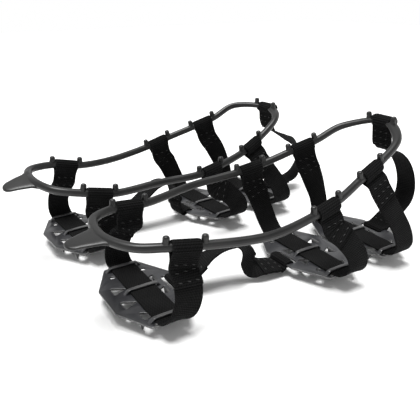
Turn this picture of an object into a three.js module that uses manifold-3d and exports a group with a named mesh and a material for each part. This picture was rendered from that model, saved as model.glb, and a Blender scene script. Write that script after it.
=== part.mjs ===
// A pair of shoe ice cleats. Each cleat is a moulded rubber ring that goes round a shoe, three toothed steel
// plates under the sole, and webbing straps that hang the plates from loops on the ring.
// Each cleat is modelled in its own frame: +X towards the toe, +Y to the left, floor at Z = 0. Millimetres.
import * as THREE from "three";
import { mergeVertices } from "three/addons/utils/BufferGeometryUtils.js";
import Module from "manifold-3d";

const wasm = await Module();
wasm.setup();

// ---------------------------------------------------------------- driving dimensions
const GAP = 0.3; // clearance between neighbouring pieces

// Ring
const CORD_RADIUS = 3.1;
const BAND_HALF_WIDTH = 4.4; // the cord widens to a flat band round the toe and the heel
const BAND_HALF_THICKNESS = 2.6;
const TOE_BAND = [84, 108]; // the x range over which the cord turns into the band
const HEEL_BAND = [-128, -146];
const RING_SIDES = 8;
const RING_STEPS = 96;

// Posts: pegs on top of the ring, one at each end of every loop.
const POST_RADIUS = 2.4;
const POST_TOP = 8;
const POST_FROM_LOOP = 13;

// Webbing
const STRAP_WIDTH = 20;
const STRAP_THICKNESS = 1.5;
const LOOP_STEPS = 4;
const LOOP_GAP = 0.5; // between the cord and the webbing round it
const STRAP_BELOW_CORD = 8.5; // a strap starts this far under the cord, so that its plate can swing

// Pull tab at the heel
const TAB_LUG = 5.5; // from the ring's centreline to the tab's root
const TAB_LENGTH = 17;
const TAB_ROOT_WIDTH = 27;
const TAB_TIP_RADIUS = 6.8;
const TAB_THICKNESS = 3.5;

// Plates: a long octagon across the shoe
const PLATE_TOP = 10;
const PLATE_THICKNESS = 1.5;
const PLATE_HALF_LENGTH = 43;
const PLATE_HALF_WIDTH = 28.3;
const PLATE_END_HALF_WIDTH = 14;
const PLATE_SHOULDER = 16;
const SLOT_X = 20.5;
const SLOT_WIDTH = 4.6;
const SLOT_LENGTH = 22;
const PIN_HOLE = [10.2, 41]; // mirrored to both ends and both sides
const PIN_HOLE_RADIUS = 1.2;
const FIXING_HOLES = [
  [-12.5, 29],
  [12.5, 29],
  [13.5, -28],
];
const FIXING_HOLE_RADIUS = 2;
const TEETH = [
  [-19.5, 9.8],
  [-19.5, -10.2],
  [-14, -28.5],
  [14.5, -7],
  [14.5, 12.8],
]; // the middle of each tooth's fold, which lies along Y
const TOOTH_WIDTH = 11;
const TOOTH_LENGTH = 9.7;
const TOOTH_THICKNESS = 1.5;
const BRIDGE_WIDTH = 3.2;
const BRIDGE_AT = [-38, 2, 38];
const BRIDGE_THICKNESS = 1.5;

// How each cleat lies. The ring is soft, so each one is given by points on its centreline, from the toe tip round
// the left side to the heel and back on the right. The loops are given by their x on the left and the right side,
// and the plates by their centres. The slack straps are given by points and by how far each is twisted there: the
// two halves of the link strap, between the heel plate's slot and the ball plate's slot, and the hoop, from the
// toe plate's slot to the ring's toe.
const PAIR_SPACING = [-16.8, 124.4];
const PAIR_CENTRE = [-22.2, 56.2];
const CLEATS = [
  {
    name: "right",
    at: [0, 0],
    turn: -1.95,
    ringPoints: [
      [111.5, 0.5, 104.5],
      [92.5, 30.5, 96],
      [66.5, 35, 85.5],
      [42, 41.5, 77],
      [17.5, 45.5, 70],
      [-9, 49, 65],
      [-51.5, 51, 61.5],
      [-100, 40, 60],
      [-126.5, 40, 61],
      [-145, 28, 62],
      [-150, -1, 62],
      [-139, -26.5, 62],
      [-121, -36.5, 61.5],
      [-97.5, -41, 58.5],
      [-51.5, -51, 57],
      [-10.5, -49, 61],
      [15.5, -47, 67.5],
      [42.5, -41.5, 76],
      [65.5, -38.5, 85],
      [93.5, -29.5, 96.5],
    ],
    loops: { heel: [-113, -109], ball: [4, 2.5], toe: [54, 54] },
    plates: { heel: [-122, 2], ball: [17.5, -14], toe: [77.5, -12] },
    linkHeelHalf: [
      [-88, -0.2, 13.4, 0],
      [-80, -1.5, 18.6, 0.15],
      [-73.7, -2.4, 23.6, 0.24],
      [-69.4, -3, 26.2, 0.31, -0.13],
      [-63, -4, 28.4, 0.35, -0.27],
      [-55.8, -5.7, 30, 0.47, -0.34],
      [-50, -7.2, 30, 0.2, -0.39],
    ],
    linkBallHalf: [
      [-45.2, -9.8, 27.9, 1.2, -0.6],
      [-42, -11.6, 23.4, 2.6, -0.8],
      [-39, -12.3, 15.8, 3.2, -0.7],
      [-35.2, -11.9, 10.6, 2.3, -0.2],
      [-28.5, -12.4, 8.2, 1.15],
      [-20.5, -13.3, 6.8, 0.6],
      [-14, -13.8, 5.8, 0.2],
      [-8, -14, 5.2, 0],
    ],
    hoop: [
      [109, -12, 13.8, 0],
      [118, -12, 17.8, 0],
      [130, -11.5, 23.5, 0],
      [139, -10.5, 31, 0],
      [142.5, -9, 41, 0],
      [141.5, -7.5, 52, 0],
      [137.5, -6, 62, 0],
      [131.5, -4, 70.5, 0],
      [124, -2, 76.3, 0],
      [117.5, -0.5, 78.3, 0],
      [114, 0.5, 83, 0],
      [112.5, 0.5, 90, 0],
    ],
  },
  {
    name: "left",
    at: PAIR_SPACING,
    turn: 1.95,
    ringPoints: [
      [107.5, 1, 96.5],
      [88, 34, 95],
      [63.5, 37, 84.5],
      [39, 43.5, 76],
      [13, 47.5, 69],
      [-12.5, 49, 62.5],
      [-56, 45, 58],
      [-89.5, 39, 60.5],
      [-114.5, 38.5, 66],
      [-137, 29, 68.5],
      [-147, 1, 69],
      [-136.5, -28, 67],
      [-117, -37.5, 63],
      [-92.5, -43, 59],
      [-54, -44, 59.5],
      [-13, -49, 60.5],
      [11, -46.5, 63.5],
      [39, -43, 69.5],
      [63.5, -39.5, 79.5],
      [90, -31, 92.5],
    ],
    loops: { heel: [-102, -105], ball: [0.5, -1], toe: [51.5, 51] },
    plates: { heel: [-108, 6], ball: [23, -2], toe: [83, -3] },
    linkHeelHalf: [
      [-74, 4.8, 13.8, 0],
      [-64, 3.9, 18, 0],
      [-53, 2.9, 25, 0],
      [-42, 2, 33, 0],
      [-34, 1.8, 38.5, 0],
      [-26, 1.5, 41, 0],
    ],
    linkBallHalf: [
      [-19, 1, 40, 0],
      [-14, 0.5, 36, 0],
      [-11, 0, 29.5, 0],
      [-9.6, -0.5, 22, 0],
      [-9.3, -1, 14.5, 0],
      [-7.5, -1.5, 7.6, 0],
      [-3, -1.8, 5, 0],
    ],
    hoop: [
      [115, -3, 12.6, 0],
      [127, -3, 12, 0.05],
      [138, -3, 12.3, 0.15],
      [147, -3, 16, 0.3],
      [152.5, -3, 24, 0.5],
      [154, -3, 34, 0.8],
      [152, -3, 44, 1.1],
      [147, -2.5, 52, 1.2],
      [138, -2, 57.5, 1],
      [127.5, -1, 63, 0.7],
      [118, 0, 68.5, 0.35],
      [111, 0.5, 74, 0.1],
      [108.3, 1, 81.5, 0],
    ],
  },
];

const RUBBER = new THREE.MeshStandardMaterial({ color: 0x1b1b1c, roughness: 0.5, metalness: 0 });
const WEBBING = new THREE.MeshStandardMaterial({ color: 0x101011, roughness: 0.9, metalness: 0 });
const STEEL = new THREE.MeshStandardMaterial({ color: 0x4a4b50, roughness: 0.38, metalness: 0.7 });

// ---------------------------------------------------------------- solid helpers
const vec = (x, y, z) => new THREE.Vector3(x, y, z);

function toSolid(geometry) {
  const bare = new THREE.BufferGeometry().setAttribute("position", geometry.getAttribute("position"));
  bare.setIndex(geometry.index);
  const merged = mergeVertices(bare, 1e-3);
  return new wasm.Manifold(
    new wasm.Mesh({
      numProp: 3,
      vertProperties: merged.attributes.position.array,
      triVerts: new Uint32Array(merged.index.array),
    }),
  );
}

function toGeometry(solid) {
  const mesh = solid.getMesh();
  const geometry = new THREE.BufferGeometry();
  geometry.setAttribute("position", new THREE.BufferAttribute(new Float32Array(mesh.vertProperties), 3));
  geometry.setIndex(new THREE.BufferAttribute(new Uint32Array(mesh.triVerts), 1));
  return geometry;
}

function joined(geometries) {
  return toGeometry(geometries.map(toSolid).reduce((sum, next) => sum.add(next)));
}

function cut(geometry, tool) {
  return toGeometry(toSolid(geometry).subtract(toSolid(tool)));
}

function volume(corner, index) {
  let sum = 0;
  for (let i = 0; i < index.length; i += 3)
    sum += corner[index[i]].dot(corner[index[i + 1]].clone().cross(corner[index[i + 2]]));
  return sum;
}

// A solid through a row of convex sections with equal point counts: a torus when closed, else capped at its ends.
function loft(sections, closed = false) {
  const corner = sections.flat();
  const sides = sections[0].length;
  const index = [];
  const spans = closed ? sections.length : sections.length - 1;
  for (let i = 0; i < spans; i++) {
    for (let j = 0; j < sides; j++) {
      const a = i * sides + j;
      const b = i * sides + ((j + 1) % sides);
      const c = ((i + 1) % sections.length) * sides + j;
      const d = ((i + 1) % sections.length) * sides + ((j + 1) % sides);
      index.push(a, b, d, a, d, c);
    }
  }
  if (!closed) {
    const last = (sections.length - 1) * sides;
    for (let j = 1; j < sides - 1; j++) {
      index.push(0, j + 1, j);
      index.push(last, last + j, last + j + 1);
    }
  }
  if (volume(corner, index) < 0) index.reverse();
  const geometry = new THREE.BufferGeometry().setFromPoints(corner);
  geometry.setIndex(index);
  return geometry;
}

// A flat strap along a route of [point, direction across the strap].
function ribbon(route, steps, width = STRAP_WIDTH, thickness = STRAP_THICKNESS) {
  const path = new THREE.CatmullRomCurve3(
    route.map(([point]) => point),
    false,
    "centripetal",
  );
  const sections = [];
  for (let i = 0; i <= steps; i++) {
    const t = i / steps;
    const along = path.getTangent(t);
    const place = t * (route.length - 1);
    const near = Math.min(Math.floor(place), route.length - 2);
    const across = route[near][1].clone().lerp(route[near + 1][1], place - near);
    across.addScaledVector(along, -across.dot(along)).setLength(width / 2);
    const normal = along.clone().cross(across).setLength(thickness / 2);
    const centre = path.getPoint(t);
    sections.push([
      centre.clone().add(across).add(normal),
      centre.clone().sub(across).add(normal),
      centre.clone().sub(across).sub(normal),
      centre.clone().add(across).sub(normal),
    ]);
  }
  return loft(sections);
}

function box(size, centre) {
  return new THREE.BoxGeometry(...size).translate(...centre);
}

function prism(shape, depth) {
  return new THREE.ExtrudeGeometry(shape, { depth, bevelEnabled: false, curveSegments: 4 });
}

// ---------------------------------------------------------------- ring
function ringPathOf(ringPoints) {
  const points = ringPoints.map((point) => vec(...point));
  const path = new THREE.CatmullRomCurve3(points, true, "centripetal");
  path.arcLengthDivisions = 2000;
  return path;
}

// The ring's centre and its outward, upward and lengthwise directions at a share of its length from the toe tip.
function ringFrame(path, share) {
  const wrapped = ((share % 1) + 1) % 1;
  const centre = path.getPointAt(wrapped);
  const along = path.getTangentAt(wrapped);
  const outward = along.clone().cross(vec(0, 0, 1)).normalize();
  const upward = outward.clone().cross(along).normalize();
  return { centre, along, outward, upward };
}

// The share of the ring's length at which one side of it passes x.
const SHARE_STEP = 0.0005;
function ringShareAt(path, x, side) {
  let best = 0;
  let miss = Infinity;
  for (let share = 0; share < 1; share += SHARE_STEP) {
    const point = path.getPointAt(share);
    if (point.y * side > 0 && Math.abs(point.x - x) < miss) {
      miss = Math.abs(point.x - x);
      best = share;
    }
  }
  return best;
}

function bandShare(x) {
  const { smoothstep } = THREE.MathUtils;
  return Math.max(smoothstep(x, ...TOE_BAND), smoothstep(-x, -HEEL_BAND[0], -HEEL_BAND[1]));
}

// One section of the ring, or of a sleeve that stands proud of it.
function ringSection(path, share, proud = 0) {
  const { centre, outward, upward } = ringFrame(path, share);
  const band = bandShare(centre.x);
  const halfWidth = THREE.MathUtils.lerp(CORD_RADIUS, BAND_HALF_WIDTH, band) + proud;
  const halfThickness = THREE.MathUtils.lerp(CORD_RADIUS, BAND_HALF_THICKNESS, band) + proud;
  const section = [];
  for (let j = 0; j < RING_SIDES; j++) {
    const angle = (2 * Math.PI * j) / RING_SIDES;
    const offset = outward.clone().multiplyScalar(halfWidth * Math.cos(angle));
    section.push(centre.clone().add(offset).addScaledVector(upward, halfThickness * Math.sin(angle)));
  }
  return section;
}

// The rearmost point of the ring's centreline.
function heelOf(path) {
  return path.getSpacedPoints(400).reduce((rear, point) => (point.x < rear.x ? point : rear));
}

// Each loop's share of the ring's length, by name.
function loopShares(path, loops) {
  const shares = {};
  for (const [plateName, [leftX, rightX]] of Object.entries(loops)) {
    shares[plateName + "_left"] = ringShareAt(path, leftX, 1);
    shares[plateName + "_right"] = ringShareAt(path, rightX, -1);
  }
  shares.toe_strap = 0;
  return shares;
}

function post(path, share) {
  const { centre, along, outward, upward } = ringFrame(path, share);
  const profile = [
    [0, 0],
    [POST_RADIUS, 0],
    [POST_RADIUS, POST_TOP - 1.4],
    [POST_RADIUS * 0.7, POST_TOP - 0.35],
    [0, POST_TOP],
  ].map(([r, h]) => new THREE.Vector2(r, h));
  const turned = new THREE.LatheGeometry(profile, 7);
  return turned.applyMatrix4(new THREE.Matrix4().makeBasis(along, upward, outward).setPosition(centre));
}

function ring(path, shares) {
  const sections = [];
  for (let i = 0; i < RING_STEPS; i++) sections.push(ringSection(path, i / RING_STEPS));
  const reach = POST_FROM_LOOP / path.getLength();
  const posts = Object.values(shares).flatMap((share) => [post(path, share - reach), post(path, share + reach)]);
  const heel = heelOf(path);
  const lug = box([TAB_LUG, TAB_ROOT_WIDTH, TAB_THICKNESS], [heel.x - TAB_LUG / 2, 0, heel.z]);
  return joined([loft(sections, true), lug, ...posts]);
}

function loop(path, share) {
  const half = STRAP_WIDTH / 2 / path.getLength();
  const tube = (proud, reach) => {
    const sections = [];
    for (let i = 0; i <= LOOP_STEPS; i++)
      sections.push(ringSection(path, share + half * reach * ((2 * i) / LOOP_STEPS - 1), proud));
    return loft(sections);
  };
  return cut(tube(LOOP_GAP + STRAP_THICKNESS, 1), tube(LOOP_GAP, 1.1));
}

// The tab bends about its rounded root, next to the lug on the ring.
function pullTab(heel) {
  const axisX = heel.x - TAB_LUG - GAP - TAB_THICKNESS / 2;
  const outline = new THREE.Shape();
  outline.moveTo(axisX, TAB_ROOT_WIDTH / 2);
  outline.absarc(axisX - TAB_LENGTH + TAB_TIP_RADIUS, 0, TAB_TIP_RADIUS, 0.6 * Math.PI, 1.4 * Math.PI, false);
  outline.lineTo(axisX, -TAB_ROOT_WIDTH / 2);
  const leaf = prism(outline, TAB_THICKNESS).translate(0, 0, heel.z - TAB_THICKNESS / 2);
  const knuckle = new THREE.CylinderGeometry(TAB_THICKNESS / 2, TAB_THICKNESS / 2, TAB_ROOT_WIDTH, 12);
  knuckle.translate(axisX, 0, heel.z);
  return joined([leaf, knuckle]);
}

// ---------------------------------------------------------------- plates
// A punched opening: it narrows from its tooth's fold to a blunt point next to the strap.
function punchedHole([x, y]) {
  const point = x - Math.sign(x) * TOOTH_LENGTH;
  const corners = [
    [x, y - TOOTH_WIDTH / 2],
    [x, y + TOOTH_WIDTH / 2],
    [point, y + 0.8],
    [point, y - 0.8],
  ];
  return new THREE.Shape(corners.map((corner) => new THREE.Vector2(...corner)));
}

function plateOutline() {
  const outline = new THREE.Shape();
  const corners = [
    [PLATE_END_HALF_WIDTH, PLATE_HALF_LENGTH],
    [PLATE_HALF_WIDTH, PLATE_SHOULDER],
    [PLATE_HALF_WIDTH, -PLATE_SHOULDER],
    [PLATE_END_HALF_WIDTH, -PLATE_HALF_LENGTH],
  ];
  const mirrored = corners.map(([x, y]) => [-x, y]).reverse();
  outline.setFromPoints([...corners, ...mirrored].map(([x, y]) => new THREE.Vector2(x, y)));
  const round = (x, y, radius) => new THREE.Path().absarc(x, y, radius, 0, 2 * Math.PI, false);
  const [pinX, pinY] = PIN_HOLE;
  for (const side of [1, -1])
    for (const end of [1, -1]) outline.holes.push(round(side * pinX, end * pinY, PIN_HOLE_RADIUS));
  for (const [x, y] of FIXING_HOLES) outline.holes.push(round(x, y, FIXING_HOLE_RADIUS));
  const slot = new THREE.Path();
  slot.absarc(SLOT_X, (SLOT_LENGTH - SLOT_WIDTH) / 2, SLOT_WIDTH / 2, 0, Math.PI, false);
  slot.absarc(SLOT_X, -(SLOT_LENGTH - SLOT_WIDTH) / 2, SLOT_WIDTH / 2, Math.PI, 2 * Math.PI, false);
  outline.holes.push(slot);
  return outline;
}

// A pointed tooth, folded down from the outer edge of its opening.
function tooth([x, y]) {
  const shape = new THREE.Shape();
  const rootZ = PLATE_TOP - PLATE_THICKNESS / 2;
  shape.moveTo(-TOOTH_WIDTH / 2, rootZ);
  shape.lineTo(-0.8, 0);
  shape.lineTo(0.8, 0);
  shape.lineTo(TOOTH_WIDTH / 2, rootZ);
  const blade = prism(shape, TOOTH_THICKNESS)
    .rotateX(Math.PI / 2)
    .rotateZ(Math.PI / 2);
  return blade.translate(x > 0 ? x : x - TOOTH_THICKNESS, y, 0);
}

// A bar raised over the strap, on a foot at each side.
function bridge(y) {
  const under = PLATE_TOP + STRAP_THICKNESS + 2 * GAP;
  const inside = STRAP_WIDTH / 2 + 2 * GAP;
  const outside = inside + BRIDGE_THICKNESS;
  const bar = new THREE.Shape();
  bar.moveTo(-outside, PLATE_TOP - PLATE_THICKNESS / 2);
  bar.lineTo(-outside, under + BRIDGE_THICKNESS * 0.4);
  bar.lineTo(-inside, under + BRIDGE_THICKNESS);
  bar.lineTo(inside, under + BRIDGE_THICKNESS);
  bar.lineTo(outside, under + BRIDGE_THICKNESS * 0.4);
  bar.lineTo(outside, PLATE_TOP - PLATE_THICKNESS / 2);
  bar.lineTo(inside, PLATE_TOP - PLATE_THICKNESS / 2);
  bar.lineTo(inside, under);
  bar.lineTo(-inside, under);
  bar.lineTo(-inside, PLATE_TOP - PLATE_THICKNESS / 2);
  return prism(bar, BRIDGE_WIDTH)
    .rotateX(Math.PI / 2)
    .translate(0, y + BRIDGE_WIDTH / 2, 0);
}

function plate([x, y], turned) {
  const slab = prism(plateOutline(), PLATE_THICKNESS).translate(0, 0, PLATE_TOP - PLATE_THICKNESS);
  const punches = TEETH.map((at) =>
    prism(punchedHole(at), 3 * PLATE_THICKNESS).translate(0, 0, PLATE_TOP - 2 * PLATE_THICKNESS),
  );
  const punched = punches.reduce((body, tool) => body.subtract(toSolid(tool)), toSolid(slab));
  const whole = joined([toGeometry(punched), ...TEETH.map(tooth), ...BRIDGE_AT.map(bridge)]);
  if (turned) whole.rotateZ(Math.PI);
  return whole.translate(x, y, 0);
}

// ---------------------------------------------------------------- straps
const ACROSS = vec(1, 0, 0);

// How far each leg of a cross strap stands out between the ring and the plate, and right under its loop,
// as [forward, sideways, under the loop].
const SWELL = {
  heel_left: [-3, 5, 0],
  heel_right: [5, 8, 0],
  ball_left: [2, 6, 0],
  ball_right: [8, 11.5, 3],
  toe_left: [6, 4, 0],
  toe_right: [4, 11, 4],
};

// The strap that carries a plate: from under its left loop, over the plate below the bridges, up to its right loop.
function crossStrap(path, shares, name, [plateX, plateY]) {
  const onPlate = PLATE_TOP + GAP + STRAP_THICKNESS / 2;
  const leg = (side) => {
    const key = name + (side > 0 ? "_left" : "_right");
    const { centre, along, upward } = ringFrame(path, shares[key]);
    const top = centre.clone().addScaledVector(upward, -STRAP_BELOW_CORD);
    const cordwise = along.clone().multiplyScalar(Math.sign(along.x));
    const end = vec(plateX, plateY + side * (PLATE_HALF_LENGTH + 1), onPlate + GAP);
    const drop = top.z - end.z;
    const [forward, sideways, lean] = SWELL[key];
    const between = (share, onward, out, height) => {
      const point = top.clone().lerp(end, share).setZ(end.z + height * drop);
      return point.add(vec(onward * forward, out * side * sideways, 0));
    };
    return [
      [top, cordwise],
      [top.clone().addScaledVector(upward, -5).add(vec(0, side * lean, 0)), cordwise],
      [between(0.35, 0.6, 0.6, 0.66), cordwise],
      [between(0.65, 0.95, 0.95, 0.36), ACROSS],
      [between(0.88, 0.6, 0.8, 0.13), ACROSS],
      [between(1, 0.05, 0.3, 0.018), ACROSS],
      [end, ACROSS],
      [vec(plateX, plateY + side * (PLATE_HALF_LENGTH - 9), onPlate), ACROSS],
    ];
  };
  return ribbon([...leg(1), [vec(plateX, plateY, onPlate), ACROSS], ...leg(-1).reverse()], 40);
}

// A slack strap's route through points of [x, y, z, twist, roll].
const slack = (points) =>
  points.map(([x, y, z, twist, roll = 0]) => [vec(x, y, z), vec(twist, 1, roll).normalize()]);

// The two halves of the link strap meet at its crest, the heel half's last point.
const CREST_GAP = 2;

function linkHeelHalf({ heel: [x, y] }, points) {
  return ribbon([...slack([[x + SLOT_X, y, 8, 0], [x + SLOT_X + 0.5, y, 11.5, 0], ...points])], 14);
}

function linkBallHalf({ ball: [x, y] }, points, [crestX, crestY, crestZ, ...turned]) {
  const crest = [crestX + CREST_GAP, crestY, crestZ, ...turned];
  return ribbon(slack([crest, ...points, [x - SLOT_X, y, 9, 0]]), 18);
}

function toeHoop(path, { toe: [x, y] }, points) {
  const { centre } = ringFrame(path, 0);
  const start = [
    [x + SLOT_X, y, 9, 0],
    [x + SLOT_X + 0.8, y, 11.3, 0],
    [x + SLOT_X + 4.5, y, 12.6, 0],
  ];
  return ribbon(slack([...start, ...points, [centre.x, centre.y, centre.z - STRAP_BELOW_CORD, 0]]), 34);
}

// ---------------------------------------------------------------- assembly
function piece(name, geometry, material) {
  const mesh = new THREE.Mesh(geometry, material);
  mesh.name = name;
  return mesh;
}

function cleat({ name, at, turn, loops, plates, ringPoints, ...slackStraps }) {
  const group = new THREE.Group();
  const add = (part, geometry, material) => group.add(piece(name + "_" + part, geometry, material));
  const path = ringPathOf(ringPoints);
  const shares = loopShares(path, loops);
  add("ring", ring(path, shares), RUBBER);
  add("pull_tab", pullTab(heelOf(path)), RUBBER);
  for (const [where, share] of Object.entries(shares)) add(where + "_loop", loop(path, share), WEBBING);
  for (const [where, centre] of Object.entries(plates)) {
    add(where + "_plate", plate(centre, where === "ball"), STEEL);
    add(where + "_cross_strap", crossStrap(path, shares, where, centre), WEBBING);
  }
  const crest = slackStraps.linkHeelHalf.at(-1);
  add("link_strap_heel_half", linkHeelHalf(plates, slackStraps.linkHeelHalf), WEBBING);
  add("link_strap_ball_half", linkBallHalf(plates, slackStraps.linkBallHalf, crest), WEBBING);
  add("toe_hoop_strap", toeHoop(path, plates, slackStraps.hoop), WEBBING);
  group.rotation.z = THREE.MathUtils.degToRad(turn);
  group.position.set(at[0] - PAIR_CENTRE[0], at[1] - PAIR_CENTRE[1], 0);
  return group;
}

const pair = new THREE.Group();
for (const description of CLEATS) pair.add(cleat(description));

export default pair;
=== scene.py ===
import math

import bmesh
import bpy
import numpy as np
from mathutils import Matrix, Vector


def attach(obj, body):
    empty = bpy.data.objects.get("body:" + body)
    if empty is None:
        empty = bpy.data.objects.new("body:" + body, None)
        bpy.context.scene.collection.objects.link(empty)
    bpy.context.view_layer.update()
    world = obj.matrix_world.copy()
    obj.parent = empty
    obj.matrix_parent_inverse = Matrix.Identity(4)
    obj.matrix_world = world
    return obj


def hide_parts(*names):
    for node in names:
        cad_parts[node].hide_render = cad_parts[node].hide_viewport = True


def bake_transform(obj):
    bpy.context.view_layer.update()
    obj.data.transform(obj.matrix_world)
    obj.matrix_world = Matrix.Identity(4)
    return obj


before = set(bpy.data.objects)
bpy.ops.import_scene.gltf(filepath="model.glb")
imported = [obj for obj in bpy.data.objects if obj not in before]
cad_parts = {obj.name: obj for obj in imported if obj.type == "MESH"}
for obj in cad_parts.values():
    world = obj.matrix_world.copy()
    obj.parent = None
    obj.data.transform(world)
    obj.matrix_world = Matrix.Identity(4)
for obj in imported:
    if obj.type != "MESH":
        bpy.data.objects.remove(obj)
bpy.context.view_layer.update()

# A pair of shoe ice cleats. Everything is worked out in each cleat's own frame, in millimetres, with +X to the toe,
# +Y to the left and the floor at Z = 0, and is moved to its place in the pair, in metres, as its mesh is made.
MM = 0.001

# ------------------------------------------------------------------ driving dimensions, as in the CAD part
CORD_RADIUS = 3.1
BAND_HALF_WIDTH = 4.4
BAND_HALF_THICKNESS = 2.6
TOE_BAND = (84, 108)
HEEL_BAND = (-128, -146)
HEEL_BAND_SHARE = 0.2  # the cord stays nearly round at the heel
POST_FROM_LOOP = 13
STRAP_BELOW_CORD = 8.5
TAB_ROOT_HALF_WIDTH = 13.5
TAB_TIP_HALF_WIDTH = 8
PLATE_TOP = 10
PLATE_THICKNESS = 1.5
PLATE_HALF_LENGTH = 43
PLATE_HALF_WIDTH = 28.3
PLATE_END_HALF_WIDTH = 14
PLATE_SHOULDER = 16
SLOT_X = 20.5
SLOT_WIDTH = 4.6
SLOT_LENGTH = 22
PIN_HOLE = (10.2, 41)
PIN_HOLE_RADIUS = 1.2
FIXING_HOLES = [(-12.5, 29), (12.5, 29), (13.5, -28)]
FIXING_HOLE_RADIUS = 2.0
TEETH = [(-19.5, 9.8), (-19.5, -10.2), (-14, -28.5), (14.5, -7), (14.5, 12.8)]  # the middle of each tooth's fold
TOOTH_WIDTH = 11
TOOTH_LENGTH = 9.7
BRIDGE_AT = [-38, 2, 38]

# Webbing
STRAP_WIDTH = 20
STRAP_THICKNESS = 1.3
LAYER = STRAP_THICKNESS + 0.15  # from one layer of doubled webbing to the next
RIB_PITCH = 1.6
RIB_STEPS = 4  # rows of vertices to a rib
STRAP_OVER_CORD = 0.5 + STRAP_THICKNESS / 2
RIB_DEPTH = 0.09
STITCHED_RIB_DEPTH = 0.17  # how much deeper the ribs are where a strap is doubled and stitched
FLAP = 19  # how far a strap is doubled below its loop or outside its slot
FLAP_STEP = 3.0  # between the points of a flap
STITCH_ROWS = [3, 9.5, 16]
PAST_END = 5  # the ribs of a doubled end reach past it, so that they don't fade at the very end
STRAP_CLEARANCE = 0.35  # between a strap and the steel next to it
STRAP_ON_PLATE = PLATE_TOP + STRAP_CLEARANCE + STRAP_THICKNESS / 2

PAIR_SPACING = (-16.8, 124.4)
PAIR_CENTRE = (-22.2, 56.2)

# The rings are soft, so each one's centreline is a list of points, from the toe tip round the left side. The slack
# straps are given by points too, each with how far the strap is twisted there, and rolled if it is.
CLEATS = [
    {
        "name": "right",
        "at": (0, 0),
        "turn": -1.95,
        "ring_points": [
            (111.5, 0.5, 104.5), (92.5, 30.5, 96), (66.5, 35, 85.5), (42, 41.5, 77), (17.5, 45.5, 70),
            (-9, 49, 65), (-51.5, 51, 61.5), (-100, 40, 60), (-126.5, 40, 61), (-145, 28, 62),
            (-150, -1, 62), (-139, -26.5, 62), (-121, -36.5, 61.5), (-97.5, -41, 58.5), (-51.5, -51, 57),
            (-10.5, -49, 61), (15.5, -47, 67.5), (42.5, -41.5, 76), (65.5, -38.5, 85), (93.5, -29.5, 96.5),
        ],
        "loops": {"heel": (-113, -109), "ball": (4, 2.5), "toe": (54, 54)},
        "tab": (24.5, 0.04, 1.5),  # from the ring's centreline to the tab's tip, its roll, and how far it droops
        "plates": {"heel": (-122, 2), "ball": (17.5, -14), "toe": (77.5, -12)},
        "link_heel_half": [
            (-88, -0.2, 13.4, 0), (-80, -1.5, 18.6, 0.15), (-73.7, -2.4, 23.6, 0.24),
            (-69.4, -3, 26.2, 0.31, -0.13), (-63, -4, 28.4, 0.35, -0.27), (-55.8, -5.7, 30, 0.47, -0.34),
            (-50, -7.2, 30, 0.2, -0.39),
        ],
        "link_ball_half": [
            (-50, -7.2, 30, 0.2, -0.39), (-45.2, -9.8, 27.9, 1.2, -0.6),
            (-42, -11.6, 23.4, 2.6, -0.8),
            (-39, -12.3, 15.8, 3.2, -0.7), (-35.2, -11.9, 10.6, 2.3, -0.2), (-28.5, -12.4, 8.2, 1.15),
            (-20.5, -13.3, 6.8, 0.6), (-13, -13.8, 5.6, 0.2),
        ],
        "hoop": [
            (118, -12, 17.8, 0), (130, -11.5, 23.5, 0), (139, -10.5, 31, 0), (142.5, -9, 41, 0),
            (141.5, -7.5, 52, 0), (137.5, -6, 62, 0), (131.5, -4, 70.5, 0), (124, -2, 76.3, 0),
            (117.5, -0.5, 78.3, 0), (114, 0.5, 83, 0), (112.5, 0.5, 90, 0),
        ],
    },
    {
        "name": "left",
        "at": PAIR_SPACING,
        "turn": 1.95,
        "ring_points": [
            (107.5, 1, 96.5), (88, 34, 95), (63.5, 37, 84.5), (39, 43.5, 76), (13, 47.5, 69),
            (-12.5, 49, 62.5), (-56, 45, 58), (-89.5, 39, 60.5), (-114.5, 38.5, 66), (-137, 29, 68.5),
            (-144.5, 1, 69), (-136.5, -28, 67), (-117, -37.5, 63), (-92.5, -43, 59), (-54, -44, 59.5),
            (-13, -49, 60.5), (11, -46.5, 63.5), (39, -43, 69.5), (63.5, -39.5, 79.5), (90, -31, 92.5),
        ],
        "loops": {"heel": (-102, -105), "ball": (0.5, -1), "toe": (51.5, 51)},
        "tab": (24, 0.16, 3),
        "plates": {"heel": (-108, 6), "ball": (23, -2), "toe": (83, -3)},
        "link_heel_half": [
            (-74, 4.8, 13.8, 0), (-64, 3.9, 18, 0), (-53, 2.9, 25, 0), (-42, 2, 33, 0), (-34, 1.8, 38.5, 0),
            (-26, 1.5, 41, 0),
        ],
        "link_ball_half": [
            (-26, 1.5, 41, 0), (-19, 1, 40, 0), (-14, 0.5, 36, 0), (-11.5, 0, 29.5, 0), (-10.8, -0.5, 22, 0),
            (-11, -1, 15, 0), (-10.4, -1.3, 10, 0),
        ],
        "hoop": [
            (127, -3, 12, 0.05), (138, -3, 12.3, 0.15), (147, -3, 16, 0.3), (152.5, -3, 24, 0.5),
            (154, -3, 34, 0.8), (152, -3, 44, 1.1), (147, -2.5, 52, 1.2), (138, -2, 57.5, 1),
            (127.5, -1, 63, 0.7), (118, 0, 68.5, 0.35), (111, 0.5, 74, 0.1), (108.3, 1, 81.5, 0),
        ],
    },
]

# How far each leg of a cross strap stands out between the ring and the plate, and right under its loop,
# as (forward, sideways, under the loop).
SWELL = {
    ("heel", 1): (-3, 5, 0),
    ("heel", -1): (5, 8, 0),
    ("ball", 1): (2, 6, 0),
    ("ball", -1): (8, 11.5, 3),
    ("toe", 1): (6, 4, 0),
    ("toe", -1): (4, 11, 4),
}

UP = np.array((0.0, 0.0, 1.0))
FORWARD = np.array((1.0, 0.0, 0.0))
LEFTWARD = np.array((0.0, 1.0, 0.0))


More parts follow.
